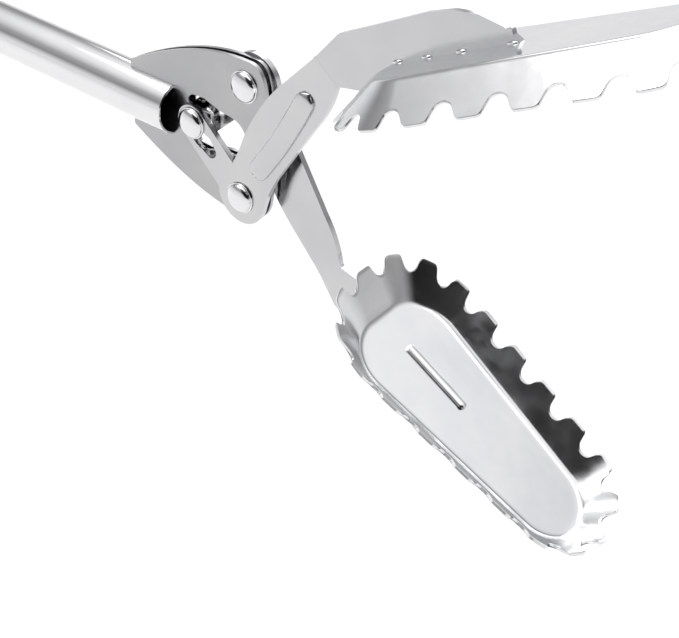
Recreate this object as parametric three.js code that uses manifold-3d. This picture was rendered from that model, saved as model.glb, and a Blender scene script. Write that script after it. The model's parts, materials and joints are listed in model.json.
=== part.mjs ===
// Leaf grabber hands: a long-reach garden tool. Squeezing a trigger slides a rod along a steel tube, and the rod's
// pin swings two toothed scoops shut. Millimetres. +X runs from the grip to the scoops, +Z is up, the trigger hangs
// towards -Z, and the front face of the head looks towards -Y. The origin is in the middle of the grip.
import * as THREE from 'three';
import { mergeVertices } from 'three/addons/utils/BufferGeometryUtils.js';
import Module from 'manifold-3d';

const wasm = await Module();
wasm.setup();
const { Manifold, Mesh } = wasm;
const rad = THREE.MathUtils.degToRad;

// ---------------------------------------------------------------- driving dimensions
const SEGMENTS = 24; // facets of an ordinary round piece
const RUNNING_GAP = 0.05; // radial gap of a pin in a moving piece
const SIDE_GAP = 0.1; // gap between flat pieces that slide past each other

const TUBE_RADIUS = 8;
const TUBE_WALL = 0.8;
const TUBE_REAR = 68; // x of the tube's end inside the grip
const HEAD_X = 375; // x of the two jaw pivots
const MOUTH_SETBACK = 27.5; // tube mouth behind the pivots
const SLIT_LENGTH = 17; // slit in the tube that holds the head plates

const PIVOT_HEIGHT = 17; // each jaw pivot above or below the tube's axis
const PIN_SETBACK = 18.5; // drive pin behind the pivots when the jaws are open
const JAW_SWING = rad(27);
const TRIGGER_SWING = rad(20);
const CRANK = 35; // trigger pivot below the rod
const ROD_TRAVEL = CRANK * TRIGGER_SWING;

const PLATE_GAP = 1.4; // between the two head plates
const PLATE = 1.2;
const ARM = 1.75;
const PIN_RADIUS = 2.5;
const DOME_RADIUS = 4.7;
const DOME_HEIGHT = 2.3;
const TAIL_HEIGHT = 1.4;

const SCOOP_SHEET = 1.2;
const SCOOP_ANGLE = rad(25); // scoop floor against the tube's axis when open
const SCOOP_SEAM_X = 58; // a point of the weld seam, ahead of the pivots
const SCOOP_SEAM_Z = 45;
const SCOOP_REAR = -11; // ends of the floor along the seam, from that point
const SCOOP_TIP = 66;
const SCOOP_HALF_WIDTH = 17;
const SCOOP_REAR_ROUND = 12; // radius of the floor's rear corners
const SCOOP_TIP_ROUND = 11.5; // radius of the floor's tip
const SIDE_FLARE = 9.5; // the rim's reach beyond the floor
const REAR_FLARE = 14.5;
const TIP_FLARE = 8;
const TOOTH_TIP = 9; // depth to the tips of the teeth
const TOOTH_LENGTH = 4.6; // along the sloping wall
const TOOTH_FLAT = 0.36; // share of a tooth's width that is its flat end
const TOOTH_COUNT = 20; // round one rim
const TAB_LENGTH = 22; // welded tab that comes through the floor
const TAB_STANDS = 0.9;
const FOLD_ANGLE = rad(3.2); // bend in each arm, which brings its scoop over the mid plane

const ROD_RADIUS = 2.5;
const BLADE = 1.2; // flat rod end between the head plates
const BLADE_HEIGHT = 6.4;
const BLADE_LENGTH = 52;
const SPRING_FRONT = 150; // x of the spring's fixed end
const SPRING_LENGTH = 38;
const SPRING_WIRE = 0.8;
const SPRING_TURNS = 9;

const GRIP_FRONT = 100;
const GRIP_REAR = -107; // at the top of the slanted rear end
const GRIP_SLANT = 10;
const GRIP_TOP = 13;
const GRIP_TOP_REAR = 15;
const GRIP_BOTTOM = -13;
const GRIP_BOTTOM_REAR = -21;
const GRIP_HALF_WIDTH = 14;
const GRIP_ROUND = 5;
const WELL_ROOF = 11.5; // the hollow that the trigger closes into
const WELL_HALF_WIDTH = 8.8;
const WELL_REAR_HALF_WIDTH = 11.6; // wider where the wire bail passes
const WELL_FRONT = 56;
const END_WEB = 10; // thickness of the web at the grip's rear end
const END_WEB_HALF_WIDTH = 7.4;
const COLLAR_RADIUS = 11.7;
const COLLAR_LENGTH = 13;

const TRIGGER_X = 47;
const LOBE_RADIUS = 12.5;
const HUB_RADIUS = 7;
const TRIGGER_HALF_WIDTH = 8;
const PIVOT_PIN_RADIUS = 3;
const LINK_PIN_RADIUS = 2;
const BAIL_RADIUS = 1.5;
const BAIL_HALF_WIDTH = 9.7;
const BAIL_SETBACK = 120; // the bail's hole behind the trigger pivot
const BAIL_DROP = 5;
const LOOP_HALF_WIDTH = 4;
const SCREW_RADIUS = 1.4;
const SCREW_HEAD_RADIUS = 2.7;

// ---------------------------------------------------------------- worked-out places
const PLATE_INNER = PLATE_GAP / 2;
const PLATE_OUTER = PLATE_INNER + PLATE;
const ARM_INNER = PLATE_OUTER + SIDE_GAP;
const ARM_OUTER = ARM_INNER + ARM;
const HEAD_FACE = ARM_OUTER + SIDE_GAP; // underside of a dome that lies on an arm
const MOUTH_X = HEAD_X - MOUTH_SETBACK;
const PLATE_REAR = -MOUTH_SETBACK - SLIT_LENGTH; // from the pivots
const PIN_X = HEAD_X - PIN_SETBACK;
const LINK_X = TRIGGER_X - ROD_TRAVEL / 2;
const TUBE_BORE = TUBE_RADIUS - TUBE_WALL;
const BAIL_X = TRIGGER_X - BAIL_SETBACK;
const BAIL_Z = -CRANK - BAIL_DROP;

// ---------------------------------------------------------------- materials
const finish = (color, roughness, metalness) => new THREE.MeshStandardMaterial({ color, roughness, metalness });
const STEEL = finish('#c9cbce', 0.22, 1);
const PLATE_STEEL = finish('#a9abae', 0.3, 1);
const BLACK_PLASTIC = finish('#17181a', 0.55, 0);
const ORANGE_PLASTIC = finish('#ef8a3c', 0.6, 0);
const BLACK_STEEL = finish('#1d1e20', 0.4, 0.6);

// ---------------------------------------------------------------- solid helpers
function solid(geometry) {
  const bare = geometry.clone();
  bare.deleteAttribute('normal');
  bare.deleteAttribute('uv');
  const merged = mergeVertices(bare, 1e-4);
  const mesh = new Mesh({
    numProp: 3,
    vertProperties: new Float32Array(merged.attributes.position.array),
    triVerts: new Uint32Array(merged.index.array),
  });
  return new Manifold(mesh);
}

const union = (...parts) => parts.flat().reduce((sum, part) => sum.add(part));
const cut = (body, ...tools) => tools.flat().reduce((left, tool) => left.subtract(tool), body);

function outline(points) {
  return new THREE.Shape(points.map(([x, z]) => new THREE.Vector2(x, z)));
}

// A flat profile in X and Z, given thickness from one y to another.
function extruded(shape, y0, y1, curveSegments = 12) {
  const geometry = new THREE.ExtrudeGeometry(shape, { depth: y1 - y0, bevelEnabled: false, curveSegments });
  geometry.rotateX(Math.PI / 2);
  geometry.translate(0, y1, 0);
  return geometry;
}

function prism(shape, y0, y1, curveSegments = 12) {
  return solid(extruded(shape, y0, y1, curveSegments));
}

function box(x0, x1, y0, y1, z0, z1) {
  const geometry = new THREE.BoxGeometry(x1 - x0, y1 - y0, z1 - z0);
  geometry.translate((x0 + x1) / 2, (y0 + y1) / 2, (z0 + z1) / 2);
  return solid(geometry);
}

function crossCylinder(x, z, radius, y0, y1, segments = SEGMENTS) {
  const geometry = new THREE.CylinderGeometry(radius, radius, y1 - y0, segments);
  geometry.translate(x, (y0 + y1) / 2, z);
  return solid(geometry);
}

function axialCylinder(radius, x0, x1, segments = SEGMENTS) {
  const geometry = new THREE.CylinderGeometry(radius, radius, x1 - x0, segments);
  geometry.rotateZ(Math.PI / 2);
  geometry.translate((x0 + x1) / 2, 0, 0);
  return solid(geometry);
}

// A turned piece: profile points are [radius, y], lathed about an axis along Y.
function turned(x, z, profile, segments = SEGMENTS) {
  const points = profile.map(([radius, y]) => new THREE.Vector2(radius, y));
  const geometry = new THREE.LatheGeometry(points, segments);
  geometry.translate(x, 0, z);
  return solid(geometry);
}

function wire(points, radius, segments = 8) {
  const pieces = [];
  points.slice(0, -1).forEach((start, i) => {
    const end = points[i + 1];
    const run = end.clone().sub(start);
    const rod = new THREE.CylinderGeometry(radius, radius, run.length(), segments);
    rod.applyQuaternion(new THREE.Quaternion().setFromUnitVectors(new THREE.Vector3(0, 1, 0), run.normalize()));
    rod.translate(...start.clone().add(end).multiplyScalar(0.5).toArray());
    pieces.push(solid(rod), Manifold.sphere(radius, segments).translate(end.toArray()));
  });
  return union(pieces);
}

const group = new THREE.Group();
group.name = 'leaf_grabber';

function add(name, body, material) {
  const { vertProperties, triVerts } = body.getMesh();
  const geometry = new THREE.BufferGeometry();
  geometry.setAttribute('position', new THREE.BufferAttribute(new Float32Array(vertProperties), 3));
  geometry.setIndex(new THREE.BufferAttribute(new Uint32Array(triVerts), 1));
  geometry.computeVertexNormals();
  const mesh = new THREE.Mesh(geometry, material);
  mesh.name = name;
  group.add(mesh);
}

const mirrored = (body) => body.mirror([0, 0, 1]).mirror([0, 1, 0]);

// ---------------------------------------------------------------- tube and head plates
function shaftTube() {
  const wall = cut(
    axialCylinder(TUBE_RADIUS, TUBE_REAR, MOUTH_X, 40),
    axialCylinder(TUBE_BORE, TUBE_REAR - 1, MOUTH_X + 1, 40),
  );
  const slit = box(HEAD_X + PLATE_REAR, MOUTH_X + 1, -PLATE_OUTER, PLATE_OUTER, -10, 10);
  return cut(wall, slit, crossCylinder(CROSS_PIN_X, CROSS_PIN_Z, SCREW_RADIUS, -10, 10));
}

function headPlate(side) {
  const shape = new THREE.Shape();
  const rearHalf = 10.4;
  const top = PIVOT_HEIGHT + 7.6;
  shape.moveTo(PLATE_REAR, -rearHalf);
  shape.quadraticCurveTo(-18, -top - 0.8, 1.8, -top);
  shape.quadraticCurveTo(7, -top, 7.8, -15.4);
  shape.lineTo(7.8, 15.4);
  shape.quadraticCurveTo(7, top, 1.8, top);
  shape.quadraticCurveTo(-18, top + 0.8, PLATE_REAR, rearHalf);
  const window = new THREE.Path();
  window.moveTo(-19, 8);
  window.quadraticCurveTo(-22.6, 7.5, -22.6, 0);
  window.quadraticCurveTo(-22.6, -7.5, -19, -8);
  window.lineTo(-15, -8.2);
  window.quadraticCurveTo(-10, -6.2, -5, -6);
  window.quadraticCurveTo(0.4, -5, 0.4, 0);
  window.quadraticCurveTo(0.4, 5, -5, 6);
  window.quadraticCurveTo(-10, 6.2, -15, 8.2);
  window.closePath();
  shape.holes.push(window);
  const [y0, y1] = side < 0 ? [-PLATE_OUTER, -PLATE_INNER] : [PLATE_INNER, PLATE_OUTER];
  const holes = [-1, 1].map((end) => crossCylinder(0, end * PIVOT_HEIGHT, PIN_RADIUS, -5, 5));
  return cut(prism(shape, y0, y1), holes).translate([HEAD_X, 0, 0]);
}

// A riveted pin with a dome on its front end and a low set head on its rear end.
function rivet(x, z, front, rear, radius = PIN_RADIUS) {
  const dome = [0, 1, 2, 3, 4].map((step) => {
    const turn = (step / 4) * (Math.PI / 2);
    return [DOME_RADIUS * Math.sin(turn), -front - DOME_HEIGHT * Math.cos(turn)];
  });
  dome[0][0] = 0;
  const tail = [
    [radius, -front],
    [radius, rear],
    [DOME_RADIUS * 0.82, rear],
    [DOME_RADIUS * 0.7, rear + TAIL_HEIGHT * 0.7],
    [0, rear + TAIL_HEIGHT],
  ];
  return turned(x, z, [...dome, ...tail]);
}

function pivotSpacer(z) {
  const ring = crossCylinder(HEAD_X, z, PIN_RADIUS + 2.6, -PLATE_INNER, PLATE_INNER);
  return cut(ring, crossCylinder(HEAD_X, z, PIN_RADIUS, -5, 5));
}

// ---------------------------------------------------------------- jaw arms
// Drawn for the upper jaw, whose pivot is the lower rivet; the lower jaw is its mirror image.
// Its tail slot follows the drive pin, so that rod and jaws turn in step over the whole travel.
function tailSlot() {
  const steps = 8;
  const cutters = [];
  for (let step = 0; step <= steps; step += 1) {
    const share = step / steps;
    const turn = share * JAW_SWING;
    const dx = -PIN_SETBACK + share * ROD_TRAVEL;
    const dz = PIVOT_HEIGHT;
    const x = dx * Math.cos(turn) - dz * Math.sin(turn);
    const z = dx * Math.sin(turn) + dz * Math.cos(turn);
    cutters.push(crossCylinder(x, z - PIVOT_HEIGHT, PIN_RADIUS + 0.15, -8, 8, 32));
  }
  const toPivot = new THREE.Vector2(PIN_SETBACK, -PIVOT_HEIGHT).normalize();
  const hulls = cutters.slice(1).map((cutter, i) => Manifold.hull([cutter, cutters[i]]));
  const relief = crossCylinder(-PIN_SETBACK + toPivot.x * 9.5, toPivot.y * 9.5, PIN_RADIUS - 0.3, -8, 8, 32);
  return union(hulls, Manifold.hull([relief, cutters[steps]]));
}

function capsule(x0, z0, x1, z1, radius, y0, y1) {
  return Manifold.hull([crossCylinder(x0, z0, radius, y0, y1), crossCylinder(x1, z1, radius, y0, y1)]);
}

function seamPoint(s, n) {
  const x = SCOOP_SEAM_X + s * Math.cos(SCOOP_ANGLE) + n * Math.sin(SCOOP_ANGLE);
  const z = SCOOP_SEAM_Z + s * Math.sin(SCOOP_ANGLE) - n * Math.cos(SCOOP_ANGLE);
  return [x, z];
}

const FOLD_TOP = [25, 34.4]; // the arm is bent along the line between these two
const FOLD_BOTTOM = [32.4, 29];

// A point just outside the scoop's rear wall at a depth below its floor.
function wallPoint(depth) {
  return seamPoint(SCOOP_REAR - (REAR_FLARE * depth) / TOOTH_TIP - 0.7, depth);
}

// Moves what lies beyond the fold sideways with the bent arm.
function leaned(geometry) {
  const [run, rise] = [FOLD_BOTTOM[0] - FOLD_TOP[0], FOLD_BOTTOM[1] - FOLD_TOP[1]];
  const length = Math.hypot(run, rise);
  const place = geometry.attributes.position;
  for (let i = 0; i < place.count; i += 1) {
    const fromFold = ((place.getZ(i) - FOLD_TOP[1]) * run - (place.getX(i) - FOLD_TOP[0]) * rise) / length;
    place.setY(i, place.getY(i) - (ARM_INNER + ARM_OUTER) / 2 + fromFold * Math.tan(FOLD_ANGLE));
  }
  return geometry;
}

function jawArm() {
  const web = new THREE.Shape();
  web.moveTo(8.2, -19);
  web.quadraticCurveTo(10.4, -10, 15, -3);
  web.lineTo(26, 14.5);
  web.quadraticCurveTo(31, 21.5, ...FOLD_BOTTOM);
  web.lineTo(...FOLD_TOP);
  web.lineTo(14, 22.8);
  web.quadraticCurveTo(7, 15.4, 1.2, 3);
  web.quadraticCurveTo(-0.4, -2, -2.8, -6.4);
  web.lineTo(-4.5, -18);
  const pivotEnd = crossCylinder(0, -PIVOT_HEIGHT, 8.4, -ARM_OUTER, -ARM_INNER, 40);
  const finger = capsule(0, -PIVOT_HEIGHT, -PIN_SETBACK, 0, PIN_RADIUS + 2.9, -ARM_OUTER, -ARM_INNER);
  const bead = capsule(6.8, -4.6, 22.2, 21.4, 1.9, -ARM_OUTER - 0.8, -ARM_OUTER + 0.4);
  const flat = cut(union(prism(web, -ARM_OUTER, -ARM_INNER), pivotEnd, finger, bead), tailSlot());

  const half = ARM / 2;
  const fin = extruded(
    outline([FOLD_TOP, FOLD_BOTTOM, wallPoint(6), wallPoint(0), seamPoint(TAB_LENGTH + 1.5, 0), [74.7, 57],
      [68, 57.9], [61.7, 57], [55.2, 54.6], [31.6, 42.5]]),
    -half, half,
  );
  const tab = extruded(
    outline([seamPoint(0, -3), seamPoint(0, SCOOP_SHEET + TAB_STANDS),
      seamPoint(TAB_LENGTH, SCOOP_SHEET + TAB_STANDS), seamPoint(TAB_LENGTH, -3)]),
    -half, half,
  );
  const crease = [FOLD_TOP, FOLD_BOTTOM].map(([x, z]) => crossCylinder(x, z, 0.3, -ARM_OUTER, -ARM_INNER, 10));
  const body = cut(union(flat, solid(leaned(fin)), solid(leaned(tab)), Manifold.hull(crease)),
    crossCylinder(0, -PIVOT_HEIGHT, PIN_RADIUS + RUNNING_GAP, -8, 8));
  return body.translate([HEAD_X, 0, 0]);
}

// ---------------------------------------------------------------- scoops
// Half of the floor's edge, from the middle of the rear to the tip: [place, outward direction] all along it.
function halfEdge() {
  const steps = 24;
  const rearCentre = new THREE.Vector2(SCOOP_REAR + SCOOP_REAR_ROUND, SCOOP_HALF_WIDTH - SCOOP_REAR_ROUND);
  const tipCentre = new THREE.Vector2(SCOOP_TIP - SCOOP_TIP_ROUND, 0);
  const run = tipCentre.clone().sub(rearCentre);
  const sideTurn = Math.atan2(run.y, run.x) + Math.acos((SCOOP_REAR_ROUND - SCOOP_TIP_ROUND) / run.length());
  const edge = [];
  for (let step = 0; step < steps; step += 1) {
    edge.push([new THREE.Vector2(SCOOP_REAR, (rearCentre.y * step) / steps), new THREE.Vector2(-1, 0)]);
  }
  const arc = (centre, radius, from, to) => {
    for (let step = 0; step <= steps; step += 1) {
      const turn = from + ((to - from) * step) / steps;
      const outward = new THREE.Vector2(Math.cos(turn), Math.sin(turn));
      edge.push([centre.clone().addScaledVector(outward, radius), outward]);
    }
  };
  arc(rearCentre, SCOOP_REAR_ROUND, Math.PI, sideTurn);
  arc(tipCentre, SCOOP_TIP_ROUND, sideTurn, 0);
  return edge;
}

function flare(outward) {
  const end = outward.x < 0 ? REAR_FLARE : TIP_FLARE;
  return SIDE_FLARE + (end - SIDE_FLARE) * outward.x ** 2;
}

// The whole edge, with its points spaced evenly along the rim, so that the teeth are alike.
function scoopEdge(count) {
  const half = halfEdge();
  const rim = half.map(([place, outward]) => place.clone().addScaledVector(outward, flare(outward)));
  const walked = [0];
  rim.slice(1).forEach((point, i) => walked.push(walked[i] + point.distanceTo(rim[i])));
  const sample = (share) => {
    const goal = share * walked[walked.length - 1];
    const next = Math.max(1, walked.findIndex((length) => length >= goal - 1e-9));
    const part = (goal - walked[next - 1]) / (walked[next] - walked[next - 1]);
    return [0, 1].map((k) => half[next - 1][k].clone().lerp(half[next][k], part));
  };
  return Array.from({ length: count }, (_, i) => {
    const share = (2 * i) / count;
    const [place, outward] = sample(share <= 1 ? share : 2 - share);
    const side = share <= 1 ? 1 : -1;
    return [new THREE.Vector2(place.x, place.y * side), new THREE.Vector2(outward.x, outward.y * side).normalize()];
  });
}

function scoop() {
  const perTooth = 6;
  const count = TOOTH_COUNT * perTooth;
  const edge = scoopEdge(count);
  const depth = (i, reach) => {
    const fromTip = Math.abs(2 * (((i + perTooth / 2) % perTooth) / perTooth) - 1);
    const fromGullet = Math.min(1, (1 - fromTip) / (1 - TOOTH_FLAT));
    const notch = TOOTH_LENGTH * Math.sqrt(1 - fromGullet ** 2);
    return TOOTH_TIP * (1 - notch / Math.hypot(reach, TOOTH_TIP));
  };
  // outer floor edge, outer rim, inner rim and inner floor edge
  const rings = [[0, 0], [null, 0], [null, SCOOP_SHEET], [SCOOP_SHEET, SCOOP_SHEET]];
  const positions = [];
  rings.forEach(([level, inset]) => edge.forEach(([point, outward], i) => {
    const n = level ?? depth(i, flare(outward));
    const place = point.clone().addScaledVector(outward, (flare(outward) * n) / TOOTH_TIP - inset);
    const [x, z] = seamPoint(place.x, n);
    positions.push(x, place.y, z);
  }));
  const index = [];
  for (let ring = 0; ring < rings.length - 1; ring += 1) {
    for (let i = 0; i < count; i += 1) {
      const [a, b] = [ring * count + i, ring * count + ((i + 1) % count)];
      index.push(a, b, a + count, b, b + count, a + count);
    }
  }
  const innerFloor = (rings.length - 1) * count;
  for (let i = 1; i < count - 1; i += 1) {
    index.push(0, i + 1, i, innerFloor, innerFloor + i, innerFloor + i + 1);
  }
  const geometry = new THREE.BufferGeometry();
  geometry.setAttribute('position', new THREE.BufferAttribute(new Float32Array(positions), 3));
  geometry.setIndex(index);
  const slot = extruded(
    outline([seamPoint(0, -2), seamPoint(0, 4), seamPoint(TAB_LENGTH, 4), seamPoint(TAB_LENGTH, -2)]),
    -ARM / 2, ARM / 2,
  );
  return cut(solid(leaned(geometry)), solid(leaned(slot))).translate([HEAD_X, 0, 0]);
}

// ---------------------------------------------------------------- rod, spring and link
function pushRod() {
  const rod = axialCylinder(ROD_RADIUS, LINK_X + 7, PIN_X + 4.5 - BLADE_LENGTH + 6);
  return cut(rod, box(PIN_X + 4.5 - BLADE_LENGTH, PIN_X, -BLADE / 2, BLADE / 2, -5, 5));
}

function rodBlade() {
  const end = PIN_X + 4.5;
  const blade = box(end - BLADE_LENGTH, end, -BLADE / 2, BLADE / 2, -BLADE_HEIGHT / 2, BLADE_HEIGHT / 2);
  return cut(blade, crossCylinder(PIN_X, 0, PIN_RADIUS, -5, 5));
}

function rodClevis() {
  const block = box(LINK_X - 5, LINK_X + 11, -3, 3, -5, 5);
  return cut(block, axialCylinder(ROD_RADIUS, LINK_X + 7, LINK_X + 20), crossCylinder(LINK_X, 0, LINK_PIN_RADIUS, -5, 5));
}

function bush(x0, x1, outer, inner) {
  return cut(axialCylinder(outer, x0, x1), axialCylinder(inner, x0 - 1, x1 + 1));
}

function returnSpring() {
  const start = SPRING_FRONT - SPRING_LENGTH + SPRING_WIRE;
  const run = SPRING_LENGTH - 2 * SPRING_WIRE;
  class Helix extends THREE.Curve {
    getPoint(t) {
      const turn = t * SPRING_TURNS * 2 * Math.PI;
      return new THREE.Vector3(start + t * run, 5 * Math.cos(turn), 5 * Math.sin(turn));
    }
  }
  const wireShape = new THREE.Shape();
  wireShape.absarc(0, 0, SPRING_WIRE, 0, 2 * Math.PI);
  const geometry = new THREE.ExtrudeGeometry(wireShape, {
    steps: SPRING_TURNS * 10, bevelEnabled: false, curveSegments: 2, extrudePath: new Helix(),
  });
  return solid(geometry);
}

// ---------------------------------------------------------------- grip
const CROSS_PIN_X = GRIP_FRONT - 14;
const CROSS_PIN_Z = 5; // above the rod, through the tube's wall
const SCREWS = [[WELL_FRONT + 5.5, -21], [GRIP_REAR + 6.5, 8.5]];

function gripOutline() {
  const shape = new THREE.Shape();
  shape.moveTo(GRIP_FRONT, GRIP_BOTTOM);
  shape.lineTo(GRIP_FRONT, GRIP_TOP);
  shape.lineTo(GRIP_REAR, GRIP_TOP_REAR);
  shape.lineTo(GRIP_REAR + GRIP_SLANT, GRIP_BOTTOM_REAR);
  shape.lineTo(TRIGGER_X - 19, -15.5);
  shape.quadraticCurveTo(TRIGGER_X - 13, -17, TRIGGER_X - LOBE_RADIUS, -CRANK + 3);
  shape.absarc(TRIGGER_X, -CRANK, LOBE_RADIUS, Math.PI - 0.24, 2 * Math.PI + 0.2, false);
  shape.quadraticCurveTo(TRIGGER_X + 18, -20, TRIGGER_X + 30, GRIP_BOTTOM - 0.6);
  return shape;
}

function gripHalf(side) {
  const geometry = new THREE.ExtrudeGeometry(gripOutline(), {
    depth: 2 * (GRIP_HALF_WIDTH - GRIP_ROUND), bevelThickness: GRIP_ROUND, bevelSize: GRIP_ROUND,
    bevelOffset: -GRIP_ROUND, bevelSegments: 3, curveSegments: 10,
  });
  geometry.rotateX(Math.PI / 2);
  geometry.translate(0, GRIP_HALF_WIDTH - GRIP_ROUND, 0);
  const floor = -80;
  const webFront = GRIP_REAR + END_WEB;
  const well = box(webFront, WELL_FRONT, -WELL_HALF_WIDTH, WELL_HALF_WIDTH, floor, WELL_ROOF);
  const rearWell = box(GRIP_REAR - 20, GRIP_REAR + 52, -WELL_REAR_HALF_WIDTH, WELL_REAR_HALF_WIDTH, floor, WELL_ROOF);
  const web = box(GRIP_REAR - 20, webFront, -END_WEB_HALF_WIDTH, END_WEB_HALF_WIDTH, -17, WELL_ROOF);
  const rodPath = box(WELL_FRONT - 1, TUBE_REAR + 1, -4, 4, -6, 6);
  const crankRoom = box(WELL_FRONT - 1, LINK_X + ROD_TRAVEL + 6, -7, 7, -21, 8);
  const root = box(GRIP_REAR - 20, LOOP_ROOT_FRONT, -LOOP_HALF_WIDTH, LOOP_HALF_WIDTH, LOOP_ROOT_LOW, LOOP_ROOT_HIGH);
  const screws = SCREWS.flatMap(([x, z]) => [
    crossCylinder(x, z, SCREW_RADIUS, -9, 20),
    crossCylinder(x, z, SCREW_HEAD_RADIUS, GRIP_HALF_WIDTH - 5, 20),
  ]);
  const body = cut(
    solid(geometry), well, cut(rearWell, web), rodPath, crankRoom, root, screws,
    axialCylinder(TUBE_RADIUS, TUBE_REAR, GRIP_FRONT + 1, 40),
    crossCylinder(TRIGGER_X, -CRANK, PIVOT_PIN_RADIUS, -11.5, 20),
    crossCylinder(TRIGGER_X, -CRANK, PIVOT_PIN_RADIUS + 2, GRIP_HALF_WIDTH - 2.4, 20),
    crossCylinder(CROSS_PIN_X, CROSS_PIN_Z, SCREW_RADIUS, -10, 10),
  );
  const keep = side < 0 ? box(-200, 200, -40, 0, -80, 40) : box(-200, 200, 0, 40, -80, 40);
  return body.intersect(keep);
}

function collar() {
  const ring = cut(
    axialCylinder(COLLAR_RADIUS, GRIP_FRONT, GRIP_FRONT + COLLAR_LENGTH - 2, 40),
    axialCylinder(TUBE_RADIUS, GRIP_FRONT - 1, GRIP_FRONT + COLLAR_LENGTH + 1, 40),
  );
  const nose = new THREE.CylinderGeometry(COLLAR_RADIUS, COLLAR_RADIUS - 1.8, 2, 40);
  nose.rotateZ(Math.PI / 2);
  nose.translate(GRIP_FRONT + COLLAR_LENGTH - 1, 0, 0);
  return union(ring, cut(solid(nose), axialCylinder(TUBE_RADIUS, GRIP_FRONT - 1, GRIP_FRONT + COLLAR_LENGTH + 1, 40)));
}

function panelScrew([x, z]) {
  const head = GRIP_HALF_WIDTH - 5;
  return turned(x, z, [[0, -9], [SCREW_RADIUS, -8], [SCREW_RADIUS, head], [SCREW_HEAD_RADIUS, head],
    [SCREW_HEAD_RADIUS, head + 1.4], [SCREW_HEAD_RADIUS - 0.6, head + 2], [0, head + 2]]);
}

function triggerPin() {
  const head = GRIP_HALF_WIDTH - 2.4;
  return turned(TRIGGER_X, -CRANK, [[0, -11.5], [PIVOT_PIN_RADIUS, -11.5], [PIVOT_PIN_RADIUS, head],
    [PIVOT_PIN_RADIUS + 2, head], [PIVOT_PIN_RADIUS + 2, head + 1.5], [PIVOT_PIN_RADIUS + 1.2, head + 2], [0, head + 2]]);
}

// ---------------------------------------------------------------- hanging loop and end cap
const LOOP_ROOT_FRONT = GRIP_REAR + 7;
const LOOP_ROOT_LOW = -10;
const LOOP_ROOT_HIGH = 4;
const LOOP_CENTRE = [GRIP_REAR - 5.5, -3];

function hangingLoop() {
  const [x, z] = LOOP_CENTRE;
  const eye = (radius, stretch, y) => Manifold.hull([
    crossCylinder(x, z, radius, -y, y, 28), crossCylinder(x + stretch, z, radius, -y, y, 28),
  ]);
  const root = box(GRIP_REAR - 4, LOOP_ROOT_FRONT, -LOOP_HALF_WIDTH, LOOP_HALF_WIDTH, LOOP_ROOT_LOW, LOOP_ROOT_HIGH);
  const eyeEnd = cut(eye(10.5, 4, LOOP_HALF_WIDTH), box(GRIP_REAR + 1.2, 0, -9, 9, -20, 20));
  const nub = capsule(x - 2, z + 9, x - 2, z + 10.5, 1.6, -LOOP_HALF_WIDTH + 1, LOOP_HALF_WIDTH - 1);
  const hole = eye(6.2, 0, 9);
  const body = cut(union(eyeEnd, root, nub), hole);
  const inside = box(rearFace(-13), 0, -9, 9, -30, LOOP_ROOT_LOW).add(box(rearFace(6), 0, -9, 9, LOOP_ROOT_HIGH, 30));
  return cut(body, inside);
}

// x of the grip's slanted rear end at a height
function rearFace(z) {
  return GRIP_REAR + (GRIP_SLANT * (GRIP_TOP_REAR - z)) / (GRIP_TOP_REAR - GRIP_BOTTOM_REAR);
}

function endCap() {
  const at = (z, back) => [rearFace(z) - back, z];
  const plate = prism(outline([at(-15, 0), at(9.5, 0), at(9.5, 1), at(-15, 1)]), -END_WEB_HALF_WIDTH, END_WEB_HALF_WIDTH);
  return cut(plate, box(-130, -90, -LOOP_HALF_WIDTH - 0.2, LOOP_HALF_WIDTH + 0.2, LOOP_ROOT_LOW - 5.2, LOOP_ROOT_HIGH + 3.6));
}

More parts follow.
